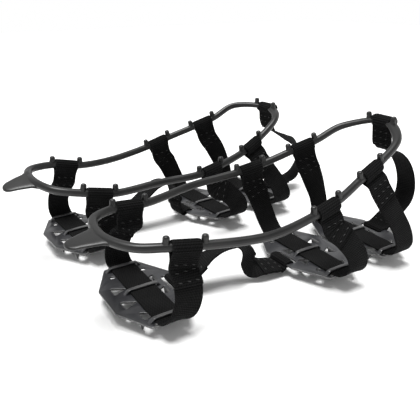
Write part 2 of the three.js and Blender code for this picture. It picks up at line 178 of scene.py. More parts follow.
# ------------------------------------------------------------------ curves
def unit(vectors):
    vectors = np.asarray(vectors, float)
    return vectors / np.linalg.norm(vectors, axis=-1, keepdims=True)


def smooth_step(x, low, high):
    t = np.clip((np.asarray(x, float) - low) / (high - low), 0, 1)
    return t * t * (3 - 2 * t)


SPAN_STEPS = 40


def catmull_rom(points, closed):
    """A centripetal Catmull-Rom curve through the points, as SPAN_STEPS short chords to each span."""
    points = np.asarray(points, float)
    count = len(points)
    dense = []
    for i in range(count if closed else count - 1):
        p1, p2 = points[i], points[(i + 1) % count]
        p0 = points[i - 1] if i or closed else 2 * p1 - p2
        p3 = points[(i + 2) % count] if i + 2 < count or closed else 2 * p2 - p1
        d0, d1, d2 = (math.sqrt(np.linalg.norm(b - a)) for a, b in ((p0, p1), (p1, p2), (p2, p3)))
        t1 = ((p1 - p0) / d0 - (p2 - p0) / (d0 + d1) + (p2 - p1) / d1) * d1
        t2 = ((p2 - p1) / d1 - (p3 - p1) / (d1 + d2) + (p3 - p2) / d2) * d1
        for t in np.arange(SPAN_STEPS) / SPAN_STEPS:
            bend = (-3 * p1 + 3 * p2 - 2 * t1 - t2) * t**2 + (2 * p1 - 2 * p2 + t1 + t2) * t**3
            dense.append(p1 + t1 * t + bend)
    dense.append(points[0] if closed else points[-1])
    return np.array(dense)


class Route:
    """A smooth curve through points, measured by its length in millimetres."""

    def __init__(self, points, closed=False):
        self.closed = closed
        self.dense = catmull_rom(points, closed)
        steps = np.linalg.norm(np.diff(self.dense, axis=0), axis=1)
        self.reach = np.concatenate([[0], np.cumsum(steps)])
        self.length = self.reach[-1]
        self.knots = self.reach[::SPAN_STEPS]  # the length at each given point

    def at(self, s):
        s = np.mod(s, self.length) if self.closed else np.clip(s, 0, self.length)
        return np.stack([np.interp(s, self.reach, self.dense[:, k]) for k in range(3)], axis=-1)

    def along(self, s):
        reach = 0.4
        s = np.asarray(s, float)
        low, high = s - reach, s + reach
        if not self.closed:
            low, high = np.maximum(low, 0), np.minimum(high, self.length)
        return unit(self.at(high) - self.at(low))


# ------------------------------------------------------------------ meshes
def placed(cleat, points):
    """Points of a cleat's own frame, in millimetres, in the pair's frame, in metres."""
    turn = math.radians(cleat["turn"])
    points = np.atleast_2d(np.asarray(points, float))
    x = points[:, 0] * math.cos(turn) - points[:, 1] * math.sin(turn)
    y = points[:, 0] * math.sin(turn) + points[:, 1] * math.cos(turn)
    shift = np.subtract(cleat["at"], PAIR_CENTRE)
    return np.stack([x + shift[0], y + shift[1], points[:, 2]], axis=1) * MM


class Shape:
    """Vertices, faces, each face's material number, and a UV in millimetres for each face corner."""

    def __init__(self):
        self.vertices, self.faces, self.numbers, self.uvs = [], [], [], []

    def tube(self, rows, closed=False, number=0, uv=None):
        """Joins rows of points into a tube, or a torus when closed. rows is (count, points of a section, 3)."""
        rows = np.asarray(rows, float)
        count, sides = rows.shape[:2]
        first = len(self.vertices)
        self.vertices.extend(rows.reshape(-1, 3))
        if uv is None:
            girth = np.arange(sides + 1) * np.linalg.norm(rows[0, 1] - rows[0, 0])
            reach = np.arange(count + 1) * np.linalg.norm(rows[1, 0] - rows[0, 0])
            uv = np.stack(np.meshgrid(reach, girth, indexing="ij")[::-1], axis=-1)
        for i in range(count if closed else count - 1):
            for j in range(sides):
                k, m = (j + 1) % sides, (i + 1) % count
                corners = ((i, j), (i, k), (m, k), (m, j))
                self.faces.append([first + a * sides + b for a, b in corners])
                self.numbers.append(number)
                self.uvs.append([uv[i][j], uv[i][j + 1], uv[i + 1][j + 1], uv[i + 1][j]])
        if not closed:
            for start, turned in ((first, True), (first + (count - 1) * sides, False)):
                face = list(range(start, start + sides))
                self.faces.append(face[::-1] if turned else face)
                self.numbers.append(number)
                self.uvs.append([(0, 0)] * sides)

    def add(self, vertices, faces, number=0):
        first = len(self.vertices)
        vertices = np.asarray(vertices, float)
        self.vertices.extend(vertices)
        for face in faces:
            self.faces.append([first + i for i in face])
            self.numbers.append(number)
            self.uvs.append([(vertices[i][0], vertices[i][1]) for i in face])


def made(cleat, name, shape, materials, sharp_angle=None):
    """The object of a shape, in its cleat's place."""
    mesh = bpy.data.meshes.new(name)
    mesh.from_pydata(placed(cleat, shape.vertices).tolist(), [], shape.faces)
    layer = mesh.uv_layers.new(name="UVMap")
    layer.data.foreach_set("uv", np.concatenate([np.asarray(uv, float) * MM for uv in shape.uvs]).ravel())
    mesh.polygons.foreach_set("material_index", shape.numbers)
    for material in materials:
        mesh.materials.append(material)
    tidy = bmesh.new()
    tidy.from_mesh(mesh)
    bmesh.ops.recalc_face_normals(tidy, faces=tidy.faces)
    tidy.to_mesh(mesh)
    tidy.free()
    mesh.shade_smooth()
    if sharp_angle is not None:
        mesh.set_sharp_from_angle(angle=math.radians(sharp_angle))
    piece = bpy.data.objects.new(name, mesh)
    bpy.context.scene.collection.objects.link(piece)
    return piece


# ------------------------------------------------------------------ materials
class Nodes:
    """A small helper for building one material's node tree."""

    def __init__(self, name):
        self.material = bpy.data.materials.new(name)
        self.material.use_nodes = True
        self.tree = self.material.node_tree
        self.shader = self.tree.nodes["Principled BSDF"]

    def new(self, kind, values=None, **settings):
        node = self.tree.nodes.new(kind)
        for key, value in settings.items():
            setattr(node, key, value)
        for key, value in (values or {}).items():
            if isinstance(value, bpy.types.NodeSocket):
                self.tree.links.new(value, node.inputs[key])
            else:
                node.inputs[key].default_value = value
        return node

    def maths(self, operation, a, b=0.0):
        return self.new("ShaderNodeMath", {0: a, 1: b}, operation=operation).outputs[0]

    def noise(self, scale, detail=4.0, roughness=0.55, coordinates=None):
        values = {"Scale": scale, "Detail": detail, "Roughness": roughness}
        if coordinates is None:
            coordinates = self.new("ShaderNodeTexCoord").outputs["Object"]
        values["Vector"] = coordinates
        return self.new("ShaderNodeTexNoise", values).outputs["Fac"]

    def ranged(self, value, low, high, to_low, to_high):
        values = {"Value": value, "From Min": low, "From Max": high, "To Min": to_low, "To Max": to_high}
        return self.new("ShaderNodeMapRange", values).outputs["Result"]

    def mixed(self, share, first, second):
        node = self.new("ShaderNodeMix", data_type="RGBA")
        for socket, value in ((node.inputs[0], share), (node.inputs[6], first), (node.inputs[7], second)):
            if isinstance(value, bpy.types.NodeSocket):
                self.tree.links.new(value, socket)
            else:
                socket.default_value = value
        return node.outputs[2]

    def set(self, **values):
        for key, value in values.items():
            socket = self.shader.inputs[key.replace("_", " ")]
            if isinstance(value, bpy.types.NodeSocket):
                self.tree.links.new(value, socket)
            else:
                socket.default_value = value

    def bump(self, height, distance, strength=1.0, normal=None):
        values = {"Height": height, "Distance": distance, "Strength": strength}
        if normal is not None:
            values["Normal"] = normal
        return self.new("ShaderNodeBump", values).outputs["Normal"]


def grey(level, tint=(1.0, 1.0, 1.0)):
    return (level * tint[0], level * tint[1], level * tint[2], 1.0)


def rubber_material():
    n = Nodes("moulded_rubber")
    cloudy = n.noise(35, 3)
    fine = n.noise(900, 3, 0.6)
    bloom = n.ranged(cloudy, 0.35, 0.7, 0, 1)
    n.set(
        Base_Color=n.mixed(bloom, grey(0.005), grey(0.011, (1.0, 1.0, 0.97))),
        Roughness=n.maths("ADD", n.ranged(cloudy, 0.3, 0.7, 0.31, 0.40), n.maths("MULTIPLY", fine, 0.06)),
        Specular_IOR_Level=0.42,
        Normal=n.bump(fine, 0.00008, 0.5, n.bump(cloudy, 0.0004, 0.25)),
    )
    return n.material


def webbing_material():
    n = Nodes("woven_webbing")
    plane = n.new("ShaderNodeUVMap", uv_map="UVMap").outputs["UV"]
    split = n.new("ShaderNodeSeparateXYZ", {"Vector": plane})
    across, along = split.outputs["X"], split.outputs["Y"]
    turn = 2 * math.pi
    ridge_phase = n.maths("MULTIPLY", along, turn / (RIB_PITCH * MM))
    yarn_phase = n.maths("MULTIPLY", across, turn / (0.9 * MM))
    ridge = n.maths("COSINE", ridge_phase)
    # Each warp yarn passes over one rib and under the next, half a pitch out of step with its neighbour.
    shifted = n.maths("ADD", n.maths("MULTIPLY", ridge_phase, 0.5), n.maths("MULTIPLY", yarn_phase, 0.5))
    over = n.maths("COSINE", shifted)
    yarn = n.maths("COSINE", yarn_phase)
    weave = n.maths("ADD", n.maths("MULTIPLY", over, 0.5), n.maths("MULTIPLY", yarn, 0.35))
    weave = n.maths("ADD", weave, n.maths("MULTIPLY", ridge, 0.5))
    fuzz = n.noise(2600, 2, 0.7)
    worn = n.noise(60, 4)
    # The weave's height also sets the colour, near black in its grooves and lighter on its ribs and yarns: painted
    # shade between them, with the fibres' fuzz adding tone that varies at random.
    groove_shade_and_fuzz = n.maths("ADD", n.ranged(weave, -1.0, 1.2, 0, 0.75), n.maths("MULTIPLY", fuzz, 0.25))
    n.set(
        Base_Color=n.mixed(groove_shade_and_fuzz, grey(0.001), n.mixed(n.ranged(worn, 0.4, 0.7, 0, 1), grey(0.009), grey(0.014))),
        Roughness=n.ranged(fuzz, 0.3, 0.7, 0.72, 0.9),
        Specular_IOR_Level=0.06,
        Sheen_Weight=0.02,
        Sheen_Roughness=0.5,
        Sheen_Tint=(0.75, 0.78, 0.82, 1.0),
        Normal=n.bump(fuzz, 0.00010, 0.5, n.bump(weave, 0.00022, 0.8)),
    )
    return n.material


def thread_material():
    n = Nodes("stitching_thread")
    twist = n.noise(3000, 1)
    n.set(
        Base_Color=n.mixed(twist, grey(0.005), grey(0.014)),
        Roughness=0.62,
        Sheen_Weight=0.1,
        Normal=n.bump(twist, 0.0001, 0.5),
    )
    return n.material


def steel_material():
    n = Nodes("coated_steel")
    cloudy = n.noise(45, 4)
    grain = n.noise(700, 3, 0.6)
    scratch_space = n.new(
        "ShaderNodeMapping",
        {"Vector": n.new("ShaderNodeTexCoord").outputs["Object"], "Scale": (40, 900, 40), "Rotation": (0, 0, 0.5)},
    )
    scratches = n.noise(3, 2, 0.5, scratch_space.outputs["Vector"])
    worn = n.new("ShaderNodeAttribute", attribute_name="worn").outputs["Fac"]
    patchy = n.ranged(n.noise(260, 3), 0.42, 0.6, 0.25, 1)
    bare = n.maths("MULTIPLY", worn, patchy)
    scraped = n.ranged(scratches, 0.66, 0.72, 0, 0.4)
    shown = n.maths("MAXIMUM", bare, scraped)
    dark_coat, pale_coat = grey(0.020, (0.96, 0.98, 1.12)), grey(0.032, (0.97, 0.99, 1.08))
    coat = n.mixed(n.ranged(cloudy, 0.35, 0.65, 0, 1), dark_coat, pale_coat)
    n.set(
        Base_Color=n.mixed(shown, coat, grey(0.16, (1.0, 0.99, 0.97))),
        Metallic=n.ranged(shown, 0, 1, 0.1, 0.7),
        Roughness=n.maths("ADD", n.ranged(cloudy, 0.3, 0.7, 0.24, 0.33), n.maths("MULTIPLY", grain, 0.06)),
        Specular_IOR_Level=0.95,
        Normal=n.bump(grain, 0.00006, 0.45, n.bump(cloudy, 0.0004, 0.2)),
    )
    return n.material


def floor_material():
    n = Nodes("pale_floor")
    n.set(Base_Color=(0.93, 0.93, 0.925, 1.0), Roughness=0.55, Specular_IOR_Level=0.15)
    return n.material


RUBBER = rubber_material()
WEBBING = webbing_material()
THREAD = thread_material()
STEEL = steel_material()


# ------------------------------------------------------------------ ring
def band_share(x):
    toe = smooth_step(x, *TOE_BAND)
    heel = smooth_step(-np.asarray(x, float), -HEEL_BAND[0], -HEEL_BAND[1])
    return np.maximum(toe, heel * HEEL_BAND_SHARE)


def ring_half_sizes(x):
    """The ring's half width and half thickness: a round cord, flatter at the toe and a little at the heel."""
    band = band_share(x)
    width = CORD_RADIUS + (BAND_HALF_WIDTH - CORD_RADIUS) * band
    return width, CORD_RADIUS + (BAND_HALF_THICKNESS - CORD_RADIUS) * band


def ring_frame(route, s):
    """Centre, lengthwise, outward and upward directions of the ring at a length from its toe tip."""
    along = route.along(s)
    outward = unit(np.cross(along, UP))
    return route.at(s), along, outward, np.cross(outward, along)


def ring_length_at(route, x, side):
    s = np.arange(0, route.length, 0.1)
    points = route.at(s)
    miss = np.where(points[:, 1] * side > 0, np.abs(points[:, 0] - x), np.inf)
    return s[np.argmin(miss)]


def loop_lengths(cleat, route):
    found = {("toe_strap", 0): 0.0}
    for where, (left_x, right_x) in cleat["loops"].items():
        found[(where, 1)] = ring_length_at(route, left_x, 1)
        found[(where, -1)] = ring_length_at(route, right_x, -1)
    return found


SEAM_HEIGHT = 0.13  # the fine ridge where the two halves of the mould met
RING_STEP = 1.3


def ring_angles():
    even = np.arange(0, 360, 360 / 28)
    seam = np.array((-7, -2.5, 2.5, 7, 173, 177.5, 182.5, 187)) % 360
    kept = [a for a in even if min(abs((a - b + 180) % 360 - 180) for b in (0, 180)) > 9]
    return np.radians(np.sort(np.concatenate([kept, seam])))


def ring_rows(route):
    angles = ring_angles()
    s = np.linspace(0, route.length, int(route.length / RING_STEP), endpoint=False)
    centre, _, outward, upward = ring_frame(route, s)
    width, thickness = ring_half_sizes(centre[:, 0])
    squared = 0.88  # under 1 is squarer than an ellipse
    side = np.sign(np.cos(angles)) * np.abs(np.cos(angles)) ** squared
    lift = np.sign(np.sin(angles)) * np.abs(np.sin(angles)) ** squared
    proud = SEAM_HEIGHT * np.where(np.abs(np.sin(angles)) < 0.06, 1, 0)
    across = side[None] * (width[:, None] + proud[None])
    return (
        centre[:, None]
        + across[..., None] * outward[:, None]
        + (lift[None] * thickness[:, None])[..., None] * upward[:, None]
    )


POST_FOOT_ACROSS = 2.6
# A post's outline, as (radius, height above the cord's centreline).
POST_PROFILE = [
    (3.2, 1.8), (2.95, 2.6), (2.65, 3.1), (2.48, 3.6), (2.42, 4.4), (2.38, 6.1), (2.27, 6.8), (1.92, 7.45),
    (1.2, 7.9), (0.4, 8.04),
]


def post_rows(route, s):
    centre, along, outward, upward = ring_frame(route, s)
    angles = np.radians(np.arange(0, 360, 20))
    rows = []
    for radius, height in POST_PROFILE:
        # The foot of a post is drawn in across the cord, so that it doesn't stand out past the cord's side.
        across = min(radius, POST_FOOT_ACROSS)
        ring = np.cos(angles)[:, None] * along * radius + np.sin(angles)[:, None] * outward * across
        rows.append(centre + ring + upward * height)
    return np.array(rows)


def make_ring(cleat, route, loops):
    shape = Shape()
    shape.tube(ring_rows(route), closed=True)
    for s in loops.values():
        for way in (-1, 1):
            shape.tube(post_rows(route, s + way * POST_FROM_LOOP))
    ring = made(cleat, cleat["name"] + "_rubber_ring", shape, [RUBBER])
    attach(ring, cleat["name"] + "_ring")
    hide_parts(cleat["name"] + "_ring")


TAB_STATIONS = 40
TAB_ROOT_HALF_THICKNESS = 1.95
TAB_TIP_HALF_THICKNESS = 1.25
TAB_SQUARENESS = (0.55, 0.8)  # of its section, in width and in thickness: 1 is an ellipse, and less is squarer
TAB_TAPER_REACH = 17  # how far from the ring the tab narrows
TAB_FLARE = 5  # how much wider each side is where it leaves the ring
TAB_FLARE_REACH = 6
TAB_BEND_REACH = 14  # how far from the ring the tab's rows still follow the ring's bend
TAB_INTO_RING = 0.6


def make_pull_tab(cleat, route):
    """The tongue at the heel, one moulding with the ring, which bends where it leaves it."""
    heel = route.dense[np.argmin(route.dense[:, 0])]
    by_heel = route.dense[route.dense[:, 0] < heel[0] + 25]
    by_heel = by_heel[np.argsort(by_heel[:, 1])]
    reach_of_tab, roll, droop = cleat["tab"]
    angles = np.radians(np.arange(0, 360, 10))
    side = np.sign(np.cos(angles)) * np.abs(np.cos(angles)) ** TAB_SQUARENESS[0]
    lift = np.sign(np.sin(angles)) * np.abs(np.sin(angles)) ** TAB_SQUARENESS[1]
    rows = []
    for share in np.sin(np.linspace(0, math.pi / 2, TAB_STATIONS)):
        reach = share * reach_of_tab
        narrowed = min(reach / TAB_TAPER_REACH, 1)
        taper = TAB_ROOT_HALF_WIDTH + (TAB_TIP_HALF_WIDTH - TAB_ROOT_HALF_WIDTH) * narrowed
        flare = TAB_FLARE * (1 - smooth_step(reach, 0, TAB_FLARE_REACH))
        from_tip = reach_of_tab - reach
        nose = math.sqrt(max(1 - (1 - min(from_tip / TAB_TIP_HALF_WIDTH, 1)) ** 2, 0.0004))
        half_width = (taper + flare) * nose
        thickness = TAB_ROOT_HALF_THICKNESS + (TAB_TIP_HALF_THICKNESS - TAB_ROOT_HALF_THICKNESS) * share
        thickness *= min(1, 0.25 + 0.75 * math.sqrt(min(from_tip / 1.5, 1)))
        section = np.zeros((len(angles), 3))
        section[:, 1] = side * half_width
        set_back = np.interp(section[:, 1], by_heel[:, 1], by_heel[:, 0]) - heel[0]
        bent = 1 - smooth_step(reach, 0, TAB_BEND_REACH)
        section[:, 0] = heel[0] + set_back * bent - reach + TAB_INTO_RING
        section[:, 2] = heel[2] + lift * thickness + roll * section[:, 1] - droop * share**2
        rows.append(section)
    shape = Shape()
    shape.tube(rows)
    tab = made(cleat, cleat["name"] + "_rubber_tab", shape, [RUBBER])
    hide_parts(cleat["name"] + "_pull_tab")
    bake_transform(tab)


# ------------------------------------------------------------------ webbing
# Across the webbing, as (place from the middle, half thickness) with a slightly thicker woven edge.
HALF_SECTION = [(-1.0, 0.30), (-0.985, 0.75), (-0.94, 1.0), (-0.86, 0.93), (-0.5, 0.97), (0, 0.97)]


def webbing_section():
    left = HALF_SECTION
    top = left + [(-a, h) for a, h in reversed(left[:-1])]
    around = [(a, h) for a, h in top] + [(a, -h) for a, h in reversed(top)]
    return np.array(around)


class Strap:
    """A strap along points, each with the direction across the strap there."""

    def __init__(self, points, across):
        self.route = Route(points)
        self.across_given = np.asarray(across, float)
        self.length = self.route.length

    def frame(self, s):
        """Centre, lengthwise direction, direction across, and the face's normal."""
        s = np.asarray(s, float)
        along = self.route.along(s)
        given = [np.interp(s, self.route.knots, self.across_given[:, k]) for k in range(3)]
        across = np.stack(given, axis=-1)
        across = unit(across - along * np.sum(across * along, axis=-1, keepdims=True))
        return self.route.at(s), along, across, np.cross(along, across)

    def add_to(self, shape, doubled=(), stop=None):
        """doubled gives stretches of the length in which the stitching makes the ribs stand out."""
        section = webbing_section()
        stop = self.length if stop is None else stop
        s = np.linspace(0, stop, max(int(stop / (RIB_PITCH / RIB_STEPS)), 8))
        centre, _, across, normal = self.frame(s)
        depth = np.full(len(s), RIB_DEPTH)
        for low, high in doubled:
            depth += STITCHED_RIB_DEPTH * smooth_step(s, low - 1, low + 1) * (1 - smooth_step(s, high - 1, high + 1))
        rib = depth * np.cos(2 * math.pi * s / RIB_PITCH)
        inside = 1 - smooth_step(np.abs(section[:, 0]), 0.86, 0.99)
        half = STRAP_THICKNESS / 2 * section[:, 1]
        lift = half[None] + rib[:, None] * (inside * np.sign(section[:, 1]))[None]
        offset = (section[:, 0] * STRAP_WIDTH / 2)[None, :, None] * across[:, None]
        rows = centre[:, None] + offset + lift[..., None] * normal[:, None]
        places = np.concatenate([section[:, 0], section[:1, 0]]) * STRAP_WIDTH / 2
        uv = np.stack(np.meshgrid(np.append(s, s[-1]), places, indexing="ij")[::-1], axis=-1)
        shape.tube(rows, uv=uv)


STITCH_LENGTH = 2.6
STITCH_RADIUS = 0.36
STITCH_PLACES = (-5.8, 0.2, 6.2)


def add_stitches(shape, strap, s, side, offset=0.0):
    """A row of short bar tacks across a strap's face, side +1 or -1 of its normal."""
    centre, along, across, normal = strap.frame(s)
    lift = side * (STRAP_THICKNESS / 2 + 0.1 + offset)
    angles = np.radians(np.arange(0, 360, 60))
    ends = [(-1.0, 0.25), (-0.8, 0.8), (-0.3, 1.05), (0.3, 1.05), (0.8, 0.8), (1.0, 0.25)]
    for place in STITCH_PLACES:
        rows = []
        for share, size in ends:
            middle = centre + across * (place + share * STITCH_LENGTH / 2) + normal * lift
            middle = middle + along * share * 0.35 - normal * side * (0.3 * share**4)
            radius = STITCH_RADIUS * size
            rows.append(middle + radius * (np.cos(angles)[:, None] * along + np.sin(angles)[:, None] * normal))
        shape.tube(rows, number=1)


# A strap's way round the cord, as shares of the cord's half width and half thickness with the strap's own.
WRAP_PROFILE = [
    (0.62, -1.12), (0.93, -0.62), (1, 0), (0.71, 0.71), (0, 1), (-0.71, 0.71), (-1, 0), (-0.86, -0.72), (-0.4, -1.3),
]


def wrap_points(route, s, facing):
    """Points of a strap round the ring, up its facing side, over its top and down its other side."""
    centre, along, outward, upward = ring_frame(route, s)
    width, thickness = (float(v) + STRAP_OVER_CORD for v in ring_half_sizes(centre[0]))
    side = outward * facing
    points = [centre + side * width * a + upward * thickness * b for a, b in WRAP_PROFILE]
    return points, along * np.sign(along[0] if abs(along[0]) > 0.5 else along[1])


def looped_end(route, s, facing, leg, strap_across):
    """A strap's end: a flap on the facing side of leg, and the turn round the ring. leg starts under the ring."""
    _, _, outward, _ = ring_frame(route, s)
    flap_at = np.arange(FLAP, -0.1, -FLAP_STEP)
    middle, _, across, normal = leg.frame(flap_at)
    toward = np.sign(np.sum(normal * outward, axis=1) * facing)
    flap = middle + normal * (toward * LAYER)[:, None]
    turn, cordwise = wrap_points(route, s, facing)
    points = list(flap) + turn
    directions = list(across) + [cordwise * np.sign(np.dot(cordwise, strap_across))] * len(turn)
    return points, directions


# How far each point under a loop is below it, and how much of the strap's lean it has.
LEG_LEAN = [(0, 1), (2, 1.3), (7, 1.7)]
# The points lower down, as shares of the way to the plate, of the swell forward and sideways, and of the drop left.
LEG_SWELL = [(0.35, 0.6, 0.6, 0.66), (0.65, 0.95, 0.95, 0.36), (0.88, 0.6, 0.8, 0.13), (1, 0.05, 0.3, 0.018)]


def leg_of(route, s, where, side, plate):
    """The strap from under its loop to its plate's middle."""
    centre, along, _, upward = ring_frame(route, s)
    cordwise = along * np.sign(along[0])
    top = centre - upward * STRAP_BELOW_CORD
    end = np.array((plate[0], plate[1] + side * (PLATE_HALF_LENGTH + 1), STRAP_ON_PLATE + 0.3))
    drop = top[2] - end[2]
    forward, sideways, lean = SWELL[(where, side)]

    def between(share, onward, out, height):
        point = top + (end - top) * share
        point[2] = end[2] + height * drop
        return point + np.array((onward * forward, out * side * sideways, 0))

    points = [top - upward * below + LEFTWARD * side * lean * share for below, share in LEG_LEAN]
    points += [between(*shares) for shares in LEG_SWELL]
    points += [
        end,
        np.array((plate[0], plate[1] + side * (PLATE_HALF_LENGTH - 9), STRAP_ON_PLATE)),
        np.array((plate[0], plate[1] + side * 10, STRAP_ON_PLATE)),
    ]
    across = [cordwise] * 4 + [FORWARD] * 6
    return points, across


BELOW_CORD_SPARE = 12  # the length between the cord and the flap's first point, on both sides together


def make_sling_strap(cleat, route, loops, where, plate):
    """The webbing that carries a plate, in one run from loop to loop. Its doubled ends lie on the side towards -Y."""
    points, across, stitched = [], [], []
    for side in (1, -1):
        s = loops[(where, side)]
        leg_points, leg_across = leg_of(route, s, where, side, plate)
        leg = Strap(leg_points, leg_across)
        end_points, end_across = looped_end(route, s, -side, leg, leg_across[0])
        stitched.append((leg, s, side))
        run_points = end_points + leg_points
        run_across = end_across + leg_across
        if side < 0:
            run_points, run_across = run_points[::-1], run_across[::-1]
        points += run_points
        across += run_across
    strap = Strap(points, across)
    shape = Shape()
    round_cord = 2 * math.pi * (CORD_RADIUS + STRAP_OVER_CORD) * 0.75
    ended = FLAP + round_cord + FLAP + BELOW_CORD_SPARE
    strap.add_to(shape, doubled=[(-PAST_END, ended), (strap.length - ended, strap.length + PAST_END)])
    for leg, s, side in stitched:
        _, _, outward, _ = ring_frame(route, s)
        for row in STITCH_ROWS:
            _, _, _, normal = leg.frame(row)
            flap_side = np.sign(np.dot(normal, outward) * -side)
            add_stitches(shape, leg, row, flap_side, LAYER)
            add_stitches(shape, leg, row, -flap_side)
    name = cleat["name"] + "_" + where
    piece = made(cleat, name + "_sling_webbing", shape, [WEBBING, THREAD])
    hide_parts(name + "_cross_strap", name + "_left_loop", name + "_right_loop")
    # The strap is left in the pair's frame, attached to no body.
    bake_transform(piece)


SLOT_BAR = (SLOT_X + SLOT_WIDTH / 2, PLATE_HALF_WIDTH)  # the plate's bar outside its slot
BAR_CLEARANCE = STRAP_CLEARANCE + STRAP_THICKNESS / 2
SLOT_DOUBLED = (-PAST_END, 2 * FLAP + 16)  # the flap, the turn round the bar and the strap under the flap
BESIDE_PLATE = 3  # from a plate's edge to the first point of the strap outside its slot


def slot_turn(plate, way):
    """Points of a strap round the bar outside a plate's slot, from under the bar, up through the slot and over it.
    way is the side of the plate that the slot is on."""
    low = PLATE_TOP - PLATE_THICKNESS - BAR_CLEARANCE
    high = PLATE_TOP + BAR_CLEARANCE
    inner, outer = SLOT_BAR[0] - BAR_CLEARANCE, SLOT_BAR[1] + BAR_CLEARANCE
    middle = PLATE_TOP - PLATE_THICKNESS / 2
    profile = [(outer - 1, low), (inner + 1.2, low), (inner, middle), (inner + 1.2, high), (outer - 1.5, high)]
    return [np.array((plate[0] + way * x, plate[1], z)) for x, z in profile]


def slack(points):
    """A slack strap's points, and the direction across it at each."""
    across = [unit(np.array((twist, 1.0, *roll, 0.0)[:3])) for _, _, _, twist, *roll in points]
    return [np.array(point[:3], float) for point in points], across


def slot_end(plate, way, leg, flap_side, over_bar):
    """A strap's doubled end round a slot's bar. flap_side is +1 where the flap lies on top of the strap."""
    middle, _, across, normal = leg.frame(np.arange(FLAP, 0.9, -FLAP_STEP))
    facing = np.sign(normal[:, 2])[:, None] * flap_side
    points = slot_turn(plate, way)
    if not over_bar:
        points = [p * (1, 1, -1) + (0, 0, 2 * PLATE_TOP - PLATE_THICKNESS) for p in points]
    return list(middle + normal * facing * LAYER) + points, list(across) + [LEFTWARD] * len(points)


def add_slot_stitches(shape, leg, flap_side):
    for row in STITCH_ROWS:
        _, _, _, face = leg.frame(row)
        side = np.sign(face[2]) * flap_side
        add_stitches(shape, leg, row, side, LAYER)
        add_stitches(shape, leg, row, -side)


LINK_BESIDE_PLATE = {"heel": 2.4, "ball": -3.2}  # the strap's height outside each slot, from the plate's top


def make_link_strap(cleat):
    """The slack strap from the heel plate's slot to the ball plate's slot, in two halves that meet at its crest."""
    heel_half, ball_half = cleat["link_heel_half"], cleat["link_ball_half"]
    for where, way, flap_side, half in (("heel", 1, -1, heel_half), ("ball", -1, 1, ball_half)):
        plate = cleat["plates"][where]
        run, across = slack((heel_half + ball_half[1:])[::way])
        beside = way * (PLATE_HALF_WIDTH + BESIDE_PLATE)
        over = np.array((plate[0] + beside, plate[1], PLATE_TOP + LINK_BESIDE_PLATE[where]))
        main, main_across = [over] + run, [LEFTWARD] + across
        leg = Strap(main, main_across)
        end_points, end_across = slot_end(plate, way, leg, flap_side, over_bar=way > 0)
        strap = Strap(end_points + main, end_across + main_across)
        shape = Shape()
        at_crest = strap.route.knots[len(end_points) + len(half)]
        strap.add_to(shape, doubled=[SLOT_DOUBLED], stop=at_crest)
        add_slot_stitches(shape, leg, flap_side)
        name = cleat["name"] + "_link_strap_" + where + "_half"
        piece = made(cleat, name + "_webbing", shape, [WEBBING, THREAD])
        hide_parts(name)
        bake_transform(piece)


HOOP_FLAP = 16
HOOP_DOUBLED = 48  # the flap, the turn round the cord and the strap under the flap
HOOP_STITCH_ROWS = [2, 7.5, 13]
HOOP_BESIDE_PLATE = 2.2  # the strap's height outside the slot, from the plate's top


def make_toe_hoop(cleat, route):
    """The strap from the toe plate's slot, round in front of the shoe, to the ring's toe, where it is doubled."""
    plate = cleat["plates"]["toe"]
    centre, _, _, _ = ring_frame(route, 0.0)
    run, across = slack(cleat["hoop"])
    over = np.array((plate[0] + PLATE_HALF_WIDTH + BESIDE_PLATE, plate[1], PLATE_TOP + HOOP_BESIDE_PLATE))
    main = [over] + run + [centre - UP * (STRAP_BELOW_CORD - 1)]
    main_across = [LEFTWARD] + across + [LEFTWARD]
    leg = Strap(main, main_across)
    leg_down = Strap(main[::-1], main_across[::-1])
    end_points, end_across = slot_end(plate, 1, leg, -1, over_bar=True)
    turn, _ = wrap_points(route, 0.0, 1)
    middle, _, flap_across, normal = leg_down.frame(np.arange(0, HOOP_FLAP, FLAP_STEP))
    inward = -np.sign(normal[:, 0])[:, None]
    points = end_points + main + turn + list(middle + normal * inward * LAYER)
    strap = Strap(points, end_across + main_across + [LEFTWARD] * len(turn) + list(flap_across))
    shape = Shape()
    strap.add_to(shape, doubled=[SLOT_DOUBLED, (strap.length - HOOP_DOUBLED, strap.length + PAST_END)])
    add_slot_stitches(shape, leg, -1)
    for row in HOOP_STITCH_ROWS:
        _, _, _, face = leg_down.frame(row)
        add_stitches(shape, leg_down, row, -np.sign(face[0]), LAYER)
        add_stitches(shape, leg_down, row, np.sign(face[0]))
    name = cleat["name"]
    piece = made(cleat, name + "_toe_hoop_webbing", shape, [WEBBING, THREAD])
    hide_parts(name + "_toe_hoop_strap", name + "_toe_strap_loop")
    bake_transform(piece)


# ------------------------------------------------------------------ plates
def arc(centre, radius, start, end, steps):
    angles = np.radians(np.linspace(start, end, steps))
    return [(centre[0] + radius * math.cos(a), centre[1] + radius * math.sin(a)) for a in angles]


def rounded(corners, radii, steps=6):
    """A closed outline with each corner rounded to its radius."""
    outline = []
    for i, (corner, radius) in enumerate(zip(corners, radii)):
        corner = np.array(corner, float)
        before = unit(np.array(corners[i - 1], float) - corner)
        after = unit(np.array(corners[(i + 1) % len(corners)], float) - corner)
        reach = radius / math.tan(math.acos(np.clip(np.dot(before, after), -1, 1)) / 2)
        start, end = corner + before * reach, corner + after * reach
        for t in np.linspace(0, 1, steps):
            outline.append(tuple((1 - t) ** 2 * start + 2 * t * (1 - t) * corner + t**2 * end))
    return outline


def plate_corners():
    half = [
        (PLATE_END_HALF_WIDTH, PLATE_HALF_LENGTH),
        (PLATE_HALF_WIDTH, PLATE_SHOULDER),
        (PLATE_HALF_WIDTH, -PLATE_SHOULDER),
        (PLATE_END_HALF_WIDTH, -PLATE_HALF_LENGTH),
    ]
    return half + [(-x, y) for x, y in reversed(half)]


def slot_outline():
    reach = (SLOT_LENGTH - SLOT_WIDTH) / 2
    radius = SLOT_WIDTH / 2
    return arc((SLOT_X, reach), radius, 0, 180, 9) + arc((SLOT_X, -reach), radius, 180, 360, 9)


FOLD_ROOM = 1.3  # how far a tooth's fold stands out past its opening


